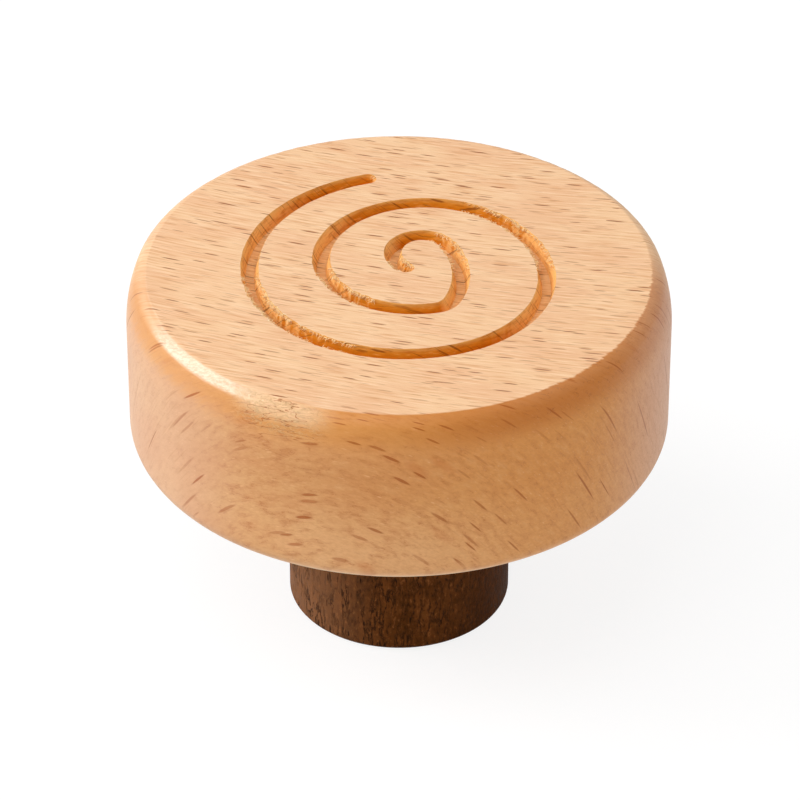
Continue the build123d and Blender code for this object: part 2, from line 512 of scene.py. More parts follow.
def insert_columns():
    """Angles once round the insert in degrees, with how deep the knurl's notch is at each."""
    pitch = 360 / KNURL_COUNT
    half_opening = (pitch - math.degrees(KNURL_LAND / INSERT_RADIUS)) / 2
    columns = []
    for notch in range(KNURL_COUNT):
        middle = pitch * notch
        for share in (0, 1 / 3, 2 / 3, 1):
            columns.append((middle + half_opening * share, KNURL_DEPTH * (1 - share)))
        columns.append((middle + pitch / 2, 0.0))
        for share in (1, 2 / 3, 1 / 3):
            columns.append((middle + pitch - half_opening * share, KNURL_DEPTH * (1 - share)))
    return columns


def insert_outside():
    """The insert's outer form from its rim up to its lead, as (radius, height)."""
    neck = INSERT_RADIUS - KNURL_DEPTH - NECK_BELOW_KNURL
    lead_bottom = insert_top - INSERT_LEAD_LENGTH
    neck_middle = (insert_bottom + lead_bottom) / 2
    neck_bottom = neck_middle - INSERT_NECK_LENGTH / 2
    neck_top = neck_middle + INSERT_NECK_LENGTH / 2
    return [
        (INSERT_RADIUS - INSERT_RIM_CHAMFER, insert_bottom),
        (INSERT_RADIUS, insert_bottom + INSERT_RIM_CHAMFER),
        (INSERT_RADIUS, neck_bottom),
        (neck, neck_bottom),
        (neck, neck_top),
        (INSERT_RADIUS, neck_top),
        (INSERT_RADIUS, lead_bottom),
        (neck, lead_bottom),
        (neck, insert_top - INSERT_LEAD_CHAMFER),
        (neck - INSERT_LEAD_CHAMFER, insert_top),
    ]


def thread_radius(angle, height):
    """The bore's radius with its right-hand thread: flat crests, sloping flanks and narrow roots."""
    turn = (height - insert_bottom) / THREAD_PITCH - angle / 360
    from_root = abs(2 * (turn % 1.0) - 1)
    flank = 1 - THREAD_CREST_FLAT - THREAD_ROOT_FLAT
    share = min(1.0, max(0.0, (1 - THREAD_CREST_FLAT - from_root) / flank))
    radius = THREAD_INNER_RADIUS + (THREAD_OUTER_RADIUS - THREAD_INNER_RADIUS) * share
    from_end = min(height - insert_bottom, insert_top - height)
    countersink = THREAD_INNER_RADIUS + INSERT_BORE_CHAMFER - from_end
    return max(radius, countersink)


def make_insert():
    """The brass insert: two knurled bands, a neck, a lead and an M4 thread, as one closed mesh."""
    columns = insert_columns()
    neck = INSERT_RADIUS - KNURL_DEPTH - NECK_BELOW_KNURL
    draft = MeshDraft()
    rows = []
    for radius, height in insert_outside():
        points = []
        for angle, notch in columns:
            flat = min(radius, max(neck, INSERT_RADIUS - notch)) * direction(angle)
            points.append((flat.x, flat.y, height))
        rows.append(draft.row(points))
    steps = round((insert_top - insert_bottom) / THREAD_PITCH * THREAD_ROWS_PER_PITCH)
    for i in range(steps, -1, -1):
        height = insert_bottom + (insert_top - insert_bottom) * i / steps
        points = []
        for angle, _ in columns:
            flat = thread_radius(angle, height) * direction(angle)
            points.append((flat.x, flat.y, height))
        rows.append(draft.row(points))
    for row, following in zip(rows, rows[1:] + rows[:1]):
        draft.bridge(row, following)
    insert = draft.object("insert_brass")
    insert.data.shade_flat()
    return insert


# Where a point of the beech lies, in millimetres: along and across its fibres, and below the flat face
Spot = namedtuple("Spot", "along across depth")

# A scattered fleck is at least this share of its full size, and weaker ones show almost as well
SMALLEST_FLECK = 0.55
FLECK_STRENGTH_POWER = 0.4


class Shader:
    """One material's nodes, added and linked so that a formula reads as a formula."""

    def __init__(self, name):
        self.material = bpy.data.materials.new(name)
        self.material.use_nodes = True
        self.tree = self.material.node_tree
        self.surface = self.tree.nodes["Principled BSDF"]
        self.output = self.tree.nodes["Material Output"]

    def node(self, kind, inputs=(), **settings):
        made = self.tree.nodes.new(kind)
        for name, value in settings.items():
            setattr(made, name, value)
        for name, value in dict(inputs).items():
            self.feed(made.inputs[name], value)
        return made

    def feed(self, socket, value):
        if isinstance(value, bpy.types.NodeSocket):
            self.tree.links.new(value, socket)
        else:
            socket.default_value = value

    def paint(self, name, value):
        """Sets or links one of the surface's own sockets."""
        self.feed(self.surface.inputs[name], value)

    def math(self, operation, *values):
        return self.node("ShaderNodeMath", dict(enumerate(values)), operation=operation).outputs[0]

    def sum(self, *terms):
        """Adds up terms, each a value or a pair of a value and its factor."""
        total = 0.0
        for term in terms:
            value, factor = term if isinstance(term, tuple) else (term, 1.0)
            total = self.math("MULTIPLY_ADD", value, factor, total)
        return total

    def product(self, first, *others):
        for other in others:
            first = self.math("MULTIPLY", first, other)
        return first

    def rest(self, share):
        """What a share from 0 to 1 leaves of the whole."""
        return self.sum(1.0, (share, -1.0))

    def mix(self, share, first, second):
        made = self.node("ShaderNodeMix", data_type="RGBA")
        self.feed(made.inputs[0], share)
        self.feed(made.inputs[6], first)
        self.feed(made.inputs[7], second)
        return made.outputs[2]

    def blend(self, share, first, second):
        """A value from first to second as share goes from 0 to 1."""
        made = self.node("ShaderNodeMapRange", {"Value": share, "To Min": first, "To Max": second})
        return made.outputs[0]

    def step(self, value, low, high, start=0.0, end=1.0):
        """Smoothly from start to end as value goes from low to high."""
        inputs = {"Value": value, "From Min": low, "From Max": high, "To Min": start, "To Max": end}
        made = self.node("ShaderNodeMapRange", inputs, interpolation_type="SMOOTHSTEP")
        return made.outputs[0]

    def place_in_mm(self):
        """X, Y and Z of the point in the knob's own frame, in millimetres."""
        place = self.node("ShaderNodeTexCoord").outputs["Object"]
        scaled = self.node("ShaderNodeVectorMath", {0: place, 3: 1 / MM}, operation="SCALE")
        parts = self.node("ShaderNodeSeparateXYZ", {0: scaled.outputs[0]})
        return parts.outputs[0], parts.outputs[1], parts.outputs[2]

    def vector(self, x, y, z):
        return self.node("ShaderNodeCombineXYZ", {0: x, 1: y, 2: z}).outputs[0]

    def cells(self, spot, cell):
        """The spot as a vector that grows by one in each of the cell's millimetres."""
        return self.vector(*(self.math("DIVIDE", value, size) for value, size in zip(spot, cell)))

    def noise(self, spot, cell, detail=2.0, roughness=0.5):
        inputs = {"Vector": self.cells(spot, cell), "Scale": 1.0, "Detail": detail, "Roughness": roughness}
        return self.node("ShaderNodeTexNoise", inputs).outputs[0]

    def hairlines(self, field, width, core=0.0):
        """Thin wandering lines, where a noise crosses its middle value. From 0 to 1."""
        off = self.math("ABSOLUTE", self.sum(field, -0.5))
        return self.step(off, core, width, 1.0, 0.0)

    def flecks(self, spot, cell, size, soft, share, sheets=False):
        """Scattered lens shapes, at most one a cell, of which only a share shows. From 0 to 1.

        Sheets run on through all depths, and otherwise each fleck ends in depth too.
        """
        inputs = {"Vector": self.cells(spot, cell), "Scale": 1.0}
        cells = self.node("ShaderNodeTexVoronoi", inputs, voronoi_dimensions="2D" if sheets else "3D")
        tossed = self.node("ShaderNodeTexWhiteNoise", {"Vector": cells.outputs["Color"]})
        dice = self.node("ShaderNodeSeparateColor", {0: tossed.outputs["Color"]})
        growth = (1 - SMALLEST_FLECK) * size
        edge = self.math("MULTIPLY_ADD", dice.outputs[1], growth, SMALLEST_FLECK * size)
        core = self.math("MULTIPLY", edge, 1 - soft)
        near = self.step(cells.outputs["Distance"], core, edge, 1.0, 0.0)
        strength = self.step(dice.outputs[0], 1 - share, 1.0)
        return self.math("MULTIPLY", near, self.math("POWER", strength, FLECK_STRENGTH_POWER))

    def bump(self, height, strength, distance):
        inputs = {"Height": height, "Strength": strength, "Distance": distance}
        return self.node("ShaderNodeBump", inputs).outputs[0]


# Places on the head in millimetres, for its material
thickness = (head_top - head_bottom) / MM
crease_radius = (head_radius - FACE_EDGE_INSET) / MM
flat_underside_radius = (head_radius - HEAD_UNDER_ROUND) / MM
groove_bottom = GROOVE_DEPTH / MM

# The beech's fibres slope over the face, bend and wander a little. The wander's cell is in millimetres
# along X, Y and Z. The ray sheets that hold the fibres lean this far to the front for each millimetre
# of depth.
GRAIN_SLOPE = 0.25
GRAIN_BEND = -0.00275
GRAIN_WANDER = 0.8
WANDER_CELL = (14.0, 9.0, 20.0)
SHEET_LEAN = 0.45

# The cells of the beech's patterns: millimetres along and across the fibres and in depth
BOLD_RAY_CELL = (3.8, 0.42, 1.0)
FINE_RAY_CELL = (2.8, 0.24, 1.0)
BROAD_RAY_CELL = (6.0, 1.5, 1.0)
TICK_CELL = (2.4, 0.1, 1.0)
TORN_SPECK_CELL = (0.7, 0.24, 0.3)
FACE_CLOUD_CELL = (9.0, 4.0, 6.0)
STREAK_CELL = (4.0, 0.24, 1.5)
SIDE_CLOUD_CELL = (8.0, 4.0, 5.0)
MOTTLE_CELL = (1.6, 0.4, 1.2)
GRIT_CELL = (0.5, 0.25, 0.25)
HAIR_CELL = (1.3, 0.5, 0.6)
NICK_CELL = (1.5, 0.16, 0.5)
FOLD_CELL = (0.9, 0.35, 0.35)
CRACK_CELL = (4.5, 1.1, 0.9)
FLOOR_STREAK_CELL = (1.8, 0.2, 1.5)

# The layers in the groove's walls lie level: their cell is in millimetres along X, Y and Z
WALL_LAYER_CELL = (1.3, 1.3, 0.22)

# Where the beech's tones change, in millimetres: from the left to the right of the head, from its front
# to its back, and down from the face
BAND_LEFT_END = (-24.0, -14.0)
BAND_MIDDLE = (-8.0, 14.0)
BAND_RIGHT_END = (16.0, 24.0)
BAND_TONES = (-10.0, 12.0)
SOFT_CREASE_LEFT = (-20.0, -6.0)
SOFT_CREASE_RIGHT = (4.0, 14.0)
RAGGED_RIGHT = (6.0, 16.0)
ORANGE_TO_RIGHT = (-24.0, 16.0)
# Where a sheen is painted on the side at the far right and at the far left
SHEEN_SPAN_RIGHT = (17.0, 24.5)
SHEEN_SPAN_LEFT = (-21.0, -12.0)
LIFT_LEFT = (-18.0, -6.0)
LIFT_RIGHT = (0.0, 14.0)
BLOTCHES_RIGHT = (0.0, 16.0)
FRONT_TO_BACK = (-4.0, 5.0)
CREASE_DEPTHS = (0.0, 0.9)
FACET_DEPTHS = (0.5, 0.85)
FACE_TONE_DEPTHS = (1.6, 2.6)
BACK_FADE_DEPTHS = (2.0, 3.4)
BAND_DEPTHS = (2.5, 4.8)
LIFT_DEPTHS = (6.0, 15.0)
RAY_FADE_DEPTHS = (thickness - 2.6, thickness - 1.4)
# Where the painted highlight along the lower rim lies, down from the face
RIM_HIGHLIGHT_DEPTHS = (thickness - 1.3, thickness - 0.3)
PATCH_DEPTHS = (0.7, 2.0)
WRINKLE_DEPTHS = (1.6, 3.2)

# Beech colours
FACE_LIGHT = colour(246, 202, 157)
FACE_DEEP = colour(241, 191, 147)
FACE_DARK_STREAK = colour(224, 163, 112)
FACE_PALE_STREAK = colour(254, 215, 174)
SIDE_LIGHT = colour(220, 167, 113)
SIDE_DEEP = colour(213, 153, 101)
SIDE_ORANGE = colour(226, 150, 70)
# Painted sheen on the side at the far right and at the far left
SIDE_PAINTED_SHEEN_RIGHT = colour(226, 176, 146)
SIDE_PAINTED_SHEEN_LEFT = colour(238, 196, 164)
SIDE_LOWER = colour(248, 200, 146)
SIDE_BLOTCH = colour(190, 114, 52)
SIDE_PALE_MOTTLE = colour(238, 186, 132)
SIDE_GRIT = colour(192, 118, 60)
SIDE_HAIR = colour(184, 88, 12)
SIDE_NICK = colour(250, 202, 148)
BAND_LEFT = colour(222, 146, 60)
BAND_RIGHT = colour(194, 110, 34)
BAND_HAIR = colour(142, 74, 14)
# Painted highlight along the lower rim
RIM_HIGHLIGHT_CREAM = colour(250, 214, 170)
# The sanded facet's pale tone: partly bare sanded wood, partly a painted highlight
FACET_PALE_AND_HIGHLIGHT = colour(255, 232, 202)
BROAD_RAY = colour(200, 112, 46)
FACE_RAY = colour(156, 84, 34)
SIDE_RAY = colour(168, 80, 8)
TORN_CREAM = colour(255, 226, 180)
PATCH_CREAM = colour(252, 210, 164)
# Pale wrinkle lines: partly pale torn grain, partly a painted highlight on their ridges
PATCH_WRINKLE_AND_HIGHLIGHT = colour(255, 216, 154)
PATCH_CRACK = colour(172, 84, 4)

# Colours of the beech cut in the groove
WALL_TOP = colour(230, 164, 84)
WALL_MIDDLE = colour(226, 142, 34)
WALL_BOTTOM = colour(212, 118, 4)
WALL_PAINTED_LIT = colour(254, 198, 120)
# Painted light on the groove's walls that face left or right
WALL_DARK_LAYER = colour(192, 100, 12)
WALL_PALE_LAYER = colour(250, 188, 104)
FLOOR_LIGHT = colour(244, 196, 140)
FLOOR_DEEP = colour(228, 168, 108)
GROOVE_RAY = colour(116, 54, 8)
GROOVE_CREAM = colour(252, 206, 132)


def head_spot(s):
    """The head's coordinates: depth below the face, radius, and the spot in the grain.

    The fibres slope down to the right over the face, and the ray sheets that hold them lean to the
    front as they go down, so that they show as lens shapes on the front of the side.
    """
    x, y, z = s.place_in_mm()
    depth = s.math("SUBTRACT", head_top / MM, z)
    radius = s.math("SQRT", s.sum((x, x), (y, y)))
    slow = s.noise((x, y, z), WANDER_CELL)
    across = s.sum(y, (x, GRAIN_SLOPE), (s.product(x, x), GRAIN_BEND), (slow, GRAIN_WANDER),
                   (depth, -SHEET_LEAN))
    return depth, radius, Spot(x, across, depth)


def wood_rays(s, spot):
    """The wood's rays, as sheets that go down through it: bold ones, and all of them. From 0 to 1."""
    bold = s.flecks(spot, BOLD_RAY_CELL, size=0.31, soft=0.5, share=0.38, sheets=True)
    fine = s.flecks(spot, FINE_RAY_CELL, size=0.31, soft=0.5, share=0.5, sheets=True)
    return bold, s.math("MAXIMUM", bold, s.product(fine, 0.45))


def torn_specks(s, spot):
    """Cream specks where the bit tore the fibres. From 0 to 1."""
    torn = s.node("ShaderNodeAttribute", attribute_name="torn").outputs["Fac"]
    specks = s.noise(spot, TORN_SPECK_CELL, detail=3.0, roughness=0.7)
    return s.product(s.step(s.sum(specks, (torn, 0.24)), 0.7, 0.78), s.step(torn, 0.1, 0.4))


def near_rim_spot(s, azimuth, depth_in_mm, near, far):
    """From 1 within near millimetres of a spot on the rounded edge to 0 at far millimetres."""
    place = s.node("ShaderNodeTexCoord").outputs["Object"]
    flat = (head_radius - SHOULDER_INSET) * direction(azimuth)
    middle = Vector((flat.x, flat.y, head_top - depth_in_mm * MM))
    off = s.node("ShaderNodeVectorMath", {0: place, 1: middle}, operation="DISTANCE").outputs["Value"]
    return s.step(off, near * MM, far * MM, 1.0, 0.0)


class BeechSurface:
    """A point of the head's surface: where it is, the patterns that tones share, and its zones.

    Each zone is a value from 0 to 1: beyond the crease, at the back or right, in the side's tones, on
    the sanded facet, in the brown band below the crease, and on the lower rim, where a highlight is
    painted. At the back and left the face's tone runs on over the crease, and at the right the crease's
    own line is ragged.
    """

    def __init__(self, s):
        self.depth, radius, self.spot = head_spot(s)
        along = self.spot.along
        self.mottle = s.noise(self.spot, MOTTLE_CELL, detail=5.0, roughness=0.6)
        self.grit = s.noise(self.spot, GRIT_CELL, detail=3.0, roughness=0.7)
        hairs = s.noise(self.spot, HAIR_CELL, detail=3.0, roughness=0.6)
        self.hairs = s.product(s.hairlines(hairs, 0.022), s.step(self.mottle, 0.47, 0.62))

        self.at_back = s.step(s.place_in_mm()[1], *FRONT_TO_BACK)
        self.at_right = s.step(along, *RAGGED_RIGHT)
        ragged = s.product(s.sum(self.mottle, -0.42), self.at_right)
        self.off_face = s.step(s.sum(radius, ragged), crease_radius - 0.08, crease_radius + 0.12)
        at_crease = s.product(s.step(along, *SOFT_CREASE_LEFT, 0.35, 1.0),
                              s.step(along, *SOFT_CREASE_RIGHT, 1.0, 0.88))
        from_crease = s.product(self.off_face, s.rest(self.at_back),
                                s.step(self.depth, *CREASE_DEPTHS, at_crease))
        self.on_side = s.math("MAXIMUM", s.step(self.depth, *FACE_TONE_DEPTHS), from_crease)

        sanded = near_rim_spot(s, SANDED_AZIMUTH, depth_in_mm=0.4, near=4.0, far=9.5)
        self.facet = s.product(sanded, self.off_face, s.step(self.depth, *FACET_DEPTHS, 1.0, 0.0))
        mottled_depth = s.sum(self.depth, (self.mottle, 2.4))
        self.band = s.product(self.off_face, s.step(mottled_depth, *BAND_DEPTHS, 1.0, 0.0),
                              s.rest(self.facet), s.step(along, *BAND_MIDDLE, 0.46, 0.75),
                              s.step(along, *BAND_RIGHT_END, 1.0, 0.5),
                              s.step(along, *BAND_LEFT_END, 1.35, 1.0))
        # Painted highlight: the lower rim's round painted paler, where it catches the light
        under_rim = s.step(radius, flat_underside_radius - 0.4, flat_underside_radius + 0.4)
        self.rim_highlight = s.product(s.step(self.depth, *RIM_HIGHLIGHT_DEPTHS, 0.0, 0.5), under_rim)


def pale_face(s, spot, streaks):
    """The flat face: clouds of two near tones, with darker and paler streaks along the fibres."""
    cloud = s.noise(spot, FACE_CLOUD_CELL)
    face = s.mix(s.step(cloud, 0.35, 0.65), FACE_LIGHT, FACE_DEEP)
    face = s.mix(s.step(streaks, 0.5, 0.7, 0.0, 0.7), face, FACE_DARK_STREAK)
    return s.mix(s.step(streaks, 0.3, 0.48, 0.7, 0.0), face, FACE_PALE_STREAK)


def warm_side(s, at):
    """The side: paler at the left and below, with painted sheen at the far left and right, a brown band
    just below the crease, and a pale rim painted as a highlight.
    """
    along = at.spot.along
    cloud = s.noise(at.spot, SIDE_CLOUD_CELL, detail=1.0)
    side = s.mix(s.step(cloud, 0.3, 0.7), SIDE_LIGHT, SIDE_DEEP)
    side = s.mix(s.step(along, *ORANGE_TO_RIGHT, 0.0, 0.85), side, SIDE_ORANGE)
    # Painted sheen: paler and pinker at the far right, where light glances off the side
    side = s.mix(s.step(along, *SHEEN_SPAN_RIGHT, 0.0, 0.65), side, SIDE_PAINTED_SHEEN_RIGHT)
    lift = s.product(s.step(at.depth, *LIFT_DEPTHS, 0.0, 0.46), s.step(along, *LIFT_RIGHT, 1.0, 0.3))
    side = s.mix(s.product(lift, s.step(along, *LIFT_LEFT)), side, SIDE_LOWER)
    blotches = s.step(at.mottle, 0.45, 0.7, 0.0, 0.36)
    side = s.mix(s.product(blotches, s.step(along, *BLOTCHES_RIGHT, 1.0, 0.55)), side, SIDE_BLOTCH)
    side = s.mix(s.step(at.mottle, 0.3, 0.5, 0.16, 0.0), side, SIDE_PALE_MOTTLE)
    side = s.mix(s.step(at.grit, 0.35, 0.65, 0.0, 0.22), side, SIDE_GRIT)
    side = s.mix(s.product(at.hairs, 0.45), side, SIDE_HAIR)
    nicks = s.flecks(at.spot, NICK_CELL, size=0.32, soft=0.5, share=0.3)
    side = s.mix(s.product(nicks, 0.32), side, SIDE_NICK)
    # Painted sheen: paler at the far left, as where the light from the left falls on the side
    side = s.mix(s.step(along, *SHEEN_SPAN_LEFT, 0.4, 0.0), side, SIDE_PAINTED_SHEEN_LEFT)
    side = s.mix(at.band, side, s.mix(s.step(along, *BAND_TONES), BAND_LEFT, BAND_RIGHT))
    side = s.mix(s.product(at.hairs, at.band, at.at_right, 0.8), side, BAND_HAIR)
    # The painted highlight along the lower rim
    return s.mix(at.rim_highlight, side, RIM_HIGHLIGHT_CREAM)


def add_rays(s, at, wood):
    """The wood with its rays, which darken whatever they cross."""
    bold, rays = wood_rays(s, at.spot)
    face_rays = s.math("MAXIMUM", s.product(bold, bold), s.product(rays, 0.85))
    side_rays = s.math("MAXIMUM", s.product(bold, bold, 0.85), s.product(rays, 0.3))
    side_rays = s.product(side_rays, s.step(at.depth, *RAY_FADE_DEPTHS, 1.0, 0.2))
    broad = s.flecks(at.spot, BROAD_RAY_CELL, size=0.3, soft=0.7, share=0.25, sheets=True)
    wood = s.mix(s.product(broad, at.on_side, 0.35), wood, BROAD_RAY)
    on_round = s.math("MAXIMUM", at.on_side, at.off_face)
    over_back = s.product(at.at_back, at.off_face, s.step(at.depth, *BACK_FADE_DEPTHS, 1.0, 0.0))
    strength = s.sum(0.92, (at.facet, -0.6), (over_back, -0.5))
    rays = s.product(s.blend(on_round, face_rays, side_rays), strength)
    return s.mix(rays, wood, s.mix(on_round, FACE_RAY, SIDE_RAY))


def add_rough_patch(s, at, wood):
    """The wood with the place where the sanding tore it, and that place's wrinkles and cracks."""
    near_patch = near_rim_spot(s, ROUGH_AZIMUTH, depth_in_mm=0.8, near=2.0, far=5.8)
    rough = s.product(near_patch, at.off_face)
    folds = s.noise(at.spot, FOLD_CELL, detail=4.0, roughness=0.65)
    wrinkles = s.product(s.hairlines(folds, 0.05), s.step(at.grit, 0.35, 0.6, 0.2, 1.0),
                         s.step(at.depth, *WRINKLE_DEPTHS, 1.0, 0.1), rough)
    cracks = s.noise(at.spot, CRACK_CELL, detail=3.0, roughness=0.5)
    cracks = s.product(s.hairlines(cracks, 0.016), rough)
    wood = s.mix(s.product(rough, s.step(at.depth, *PATCH_DEPTHS, 0.65, 0.0)), wood, PATCH_CREAM)
    # The wrinkles painted pale: partly pale torn grain, partly a painted highlight on their ridges
    wood = s.mix(s.product(wrinkles, 0.6), wood, PATCH_WRINKLE_AND_HIGHLIGHT)
    return s.mix(s.product(cracks, 0.75), wood, PATCH_CRACK), wrinkles, cracks


def beech():
    """Oiled beech: short brown rays and fine streaks on a pale flat face, and a warmer, glossier side."""
    s = Shader("beech")
    at = BeechSurface(s)
    streaks = s.noise(at.spot, STREAK_CELL, detail=2.0, roughness=0.6)
    wood = s.mix(at.on_side, pale_face(s, at.spot, streaks), warm_side(s, at))
    # The sanded facet painted paler: partly bare sanded wood, partly a painted highlight
    wood = s.mix(s.product(at.facet, s.step(at.grit, 0.4, 0.6, 0.3, 0.75)), wood, FACET_PALE_AND_HIGHLIGHT)
    wood = add_rays(s, at, wood)
    cream = torn_specks(s, at.spot)
    wood = s.mix(s.product(cream, 0.9), wood, TORN_CREAM)
    wood, wrinkles, cracks = add_rough_patch(s, at, wood)
    s.paint("Base Color", wood)
    s.paint("Roughness", s.blend(at.facet, s.blend(at.on_side, 0.55, 0.42), 0.38))
    s.paint("Specular IOR Level", 0.3)
    gritty = s.product(at.grit, s.blend(at.facet, 0.8, 1.6))
    relief = s.sum(gritty, (streaks, 0.4), (at.mottle, 0.8), (cream, 0.6), (wrinkles, 1.4),
                   (s.product(at.hairs, at.on_side), -0.4), (cracks, -0.4))
    s.paint("Normal", s.bump(relief, 0.7, 0.05 * MM))
    return s.material


def cut_beech():
    """Beech inside the groove, dry and deep orange: level streaks down the walls, painted light on the
    side-facing ones, and a pale floor.
    """
    s = Shader("beech_cut")
    depth, _, spot = head_spot(s)
    facing = s.node("ShaderNodeSeparateXYZ", {0: s.node("ShaderNodeTexCoord").outputs["Normal"]})
    # Painted light: walls facing left or right are painted paler, as where light falls on them, while those
    # facing the front or back keep the deep orange of shade
    facing_sideways = s.step(s.math("ABSOLUTE", facing.outputs[0]), 0.55, 0.92)
    layers = s.noise(s.place_in_mm(), WALL_LAYER_CELL, detail=3.0, roughness=0.6)
    wall = s.mix(s.step(depth, 0.02, 0.5), WALL_TOP, WALL_MIDDLE)
    wall = s.mix(s.step(depth, 0.4, 1.1), wall, WALL_BOTTOM)
    wall = s.mix(s.product(facing_sideways, 0.95), wall, WALL_PAINTED_LIT)
    wall = s.mix(s.step(layers, 0.45, 0.7, 0.0, 0.5), wall, WALL_DARK_LAYER)
    wall = s.mix(s.step(layers, 0.3, 0.45, 0.4, 0.0), wall, WALL_PALE_LAYER)
    streaks = s.noise(spot, FLOOR_STREAK_CELL, detail=3.0, roughness=0.6)
    floor = s.mix(s.step(streaks, 0.35, 0.65), FLOOR_LIGHT, FLOOR_DEEP)
    wood = s.mix(s.step(depth, groove_bottom - 0.1, groove_bottom - 0.04), wall, floor)
    ticks = s.flecks(spot, TICK_CELL, size=0.4, soft=0.5, share=0.25, sheets=True)
    rays = s.math("MAXIMUM", s.product(wood_rays(s, spot)[0], 0.75), s.product(ticks, 0.6))
    wood = s.mix(s.product(rays, 0.85), wood, GROOVE_RAY)
    cream = torn_specks(s, spot)
    wood = s.mix(s.product(cream, 0.6), wood, GROOVE_CREAM)
    s.paint("Base Color", wood)
    s.paint("Roughness", 0.7)
    s.paint("Specular IOR Level", 0.1)
    relief = s.sum((layers, 0.6), (streaks, 0.5), (rays, -0.5), (cream, 0.8))
    s.paint("Normal", s.bump(relief, 0.7, 0.06 * MM))
    return s.material


# The cells of the walnut's patterns, in millimetres along X, Y and Z
WARP_CELL = (1.5, 1.5, 3.0)
PORE_CELL = (0.42, 0.42, 2.8)
RIDGE_CELL = (0.9, 0.9, 5.0)
PATCH_CELL = (2.2, 2.2, 3.5)
SPECKLE_CELL = (0.35, 0.35, 0.7)
WARP = 1.1

# Where the walnut's tones change, in millimetres from the left to the right of the stem: a painted
# sheen at the left, painted shade at the right, and fainter pores at the right
SHEEN_LEFT_OF_STEM = (-9.5, -1.0)
SHADED_RIGHT = (1.0, 9.0)
FAINT_PORES_RIGHT = (0.0, 8.0)

# Walnut colours
WALNUT_LIGHT = colour(114, 66, 28)
WALNUT_DEEP = colour(88, 49, 16)
WALNUT_PALE_SPECKLE = colour(162, 100, 56)
WALNUT_DARK_SPECKLE = colour(50, 24, 4)
WALNUT_PAINTED_SHEEN = colour(160, 112, 78)
WALNUT_PAINTED_SHADE = colour(50, 24, 6)
WALNUT_PORE = colour(24, 12, 5)


def walnut():
    """Oiled dark walnut, end to end along Z, with open pores, wavy cracks, painted sheen left and shade
    right.
    """
    s = Shader("walnut")
    place = s.place_in_mm()
    x, y, z = place
    warp = s.noise(place, WARP_CELL, detail=3.0)
    wavy = (s.sum(x, (warp, WARP)), s.sum(y, (warp, WARP)), z)
    pores = s.flecks(wavy, PORE_CELL, size=0.33, soft=0.45, share=0.7)
    ridges = s.noise(wavy, RIDGE_CELL, detail=4.0, roughness=0.6)
    patches = s.noise(place, PATCH_CELL, detail=3.0, roughness=0.6)
    speckles = s.noise(place, SPECKLE_CELL, detail=4.0, roughness=0.7)
    wood = s.mix(s.step(patches, 0.35, 0.65), WALNUT_LIGHT, WALNUT_DEEP)
    wood = s.mix(s.step(speckles, 0.52, 0.74, 0.0, 0.75), wood, WALNUT_PALE_SPECKLE)
    wood = s.mix(s.step(speckles, 0.32, 0.48, 0.75, 0.0), wood, WALNUT_DARK_SPECKLE)
    # Painted sheen: the stem paler at the left, as where the light from the left falls on it
    wood = s.mix(s.step(x, *SHEEN_LEFT_OF_STEM, 0.65, 0.0), wood, WALNUT_PAINTED_SHEEN)
    # Painted shade: the stem darker at the right, away from the light
    wood = s.mix(s.step(x, *SHADED_RIGHT, 0.0, 0.55), wood, WALNUT_PAINTED_SHADE)
    cracks = s.product(s.hairlines(ridges, 0.035, core=0.006), s.step(patches, 0.4, 0.6, 0.75, 0.25))
    dark = s.math("MAXIMUM", s.product(pores, 0.8), cracks)
    dark = s.product(dark, s.step(x, *FAINT_PORES_RIGHT, 1.0, 0.4))
    s.paint("Base Color", s.mix(dark, wood, WALNUT_PORE))
    s.paint("Roughness", s.step(speckles, 0.3, 0.7, 0.5, 0.7))
    s.paint("Specular IOR Level", 0.03)
    relief = s.sum((speckles, 0.7), (ridges, 0.5), (dark, -1.0))
    s.paint("Normal", s.bump(relief, 0.8, 0.18 * MM))
    return s.material


# Brass and torn fibre: their colours, and the cells of their patterns in millimetres
BRASS_LIGHT = colour(214, 178, 108)
BRASS_DEEP = colour(196, 156, 86)
TURNING_MARK_CELL = (2.5, 2.5, 0.07)
FIBRE_PALE = colour(255, 222, 168)
FIBRE_DEEP = colour(250, 200, 130)
FIBRE_TONE_CELL = (0.4, 0.4, 0.4)


def brass():
    """Plain machined brass with fine turning marks."""
    s = Shader("brass")
    marks = s.noise(s.place_in_mm(), TURNING_MARK_CELL)
    s.paint("Base Color", s.mix(s.step(marks, 0.3, 0.7), BRASS_LIGHT, BRASS_DEEP))
    s.paint("Roughness", s.step(marks, 0.3, 0.7, 0.24, 0.38))
    s.paint("Metallic", 1.0)
    s.paint("Normal", s.bump(marks, 0.2, 0.02 * MM))
    return s.material


def fibre_wood():
    """Pale torn fibres, a little uneven in tone."""
    s = Shader("torn_fibre")
    tone = s.noise(s.place_in_mm(), FIBRE_TONE_CELL)
    s.paint("Base Color", s.mix(tone, FIBRE_PALE, FIBRE_DEEP))
    s.paint("Roughness", 0.7)
    return s.material


def give(piece, *materials):
    piece.data.materials.clear()
    for material in materials:
        piece.data.materials.append(material)


# Floor: it glows to the camera and in reflections, so that it shows as white with only the knob's
# shadow on it, and is plain pale paint to the light that reaches the knob
FLOOR_SIZE = 6.0
FLOOR_GLOW = 0.84
FLOOR_TO_CAMERA = 0.2
FLOOR_TO_OBJECT = 0.8


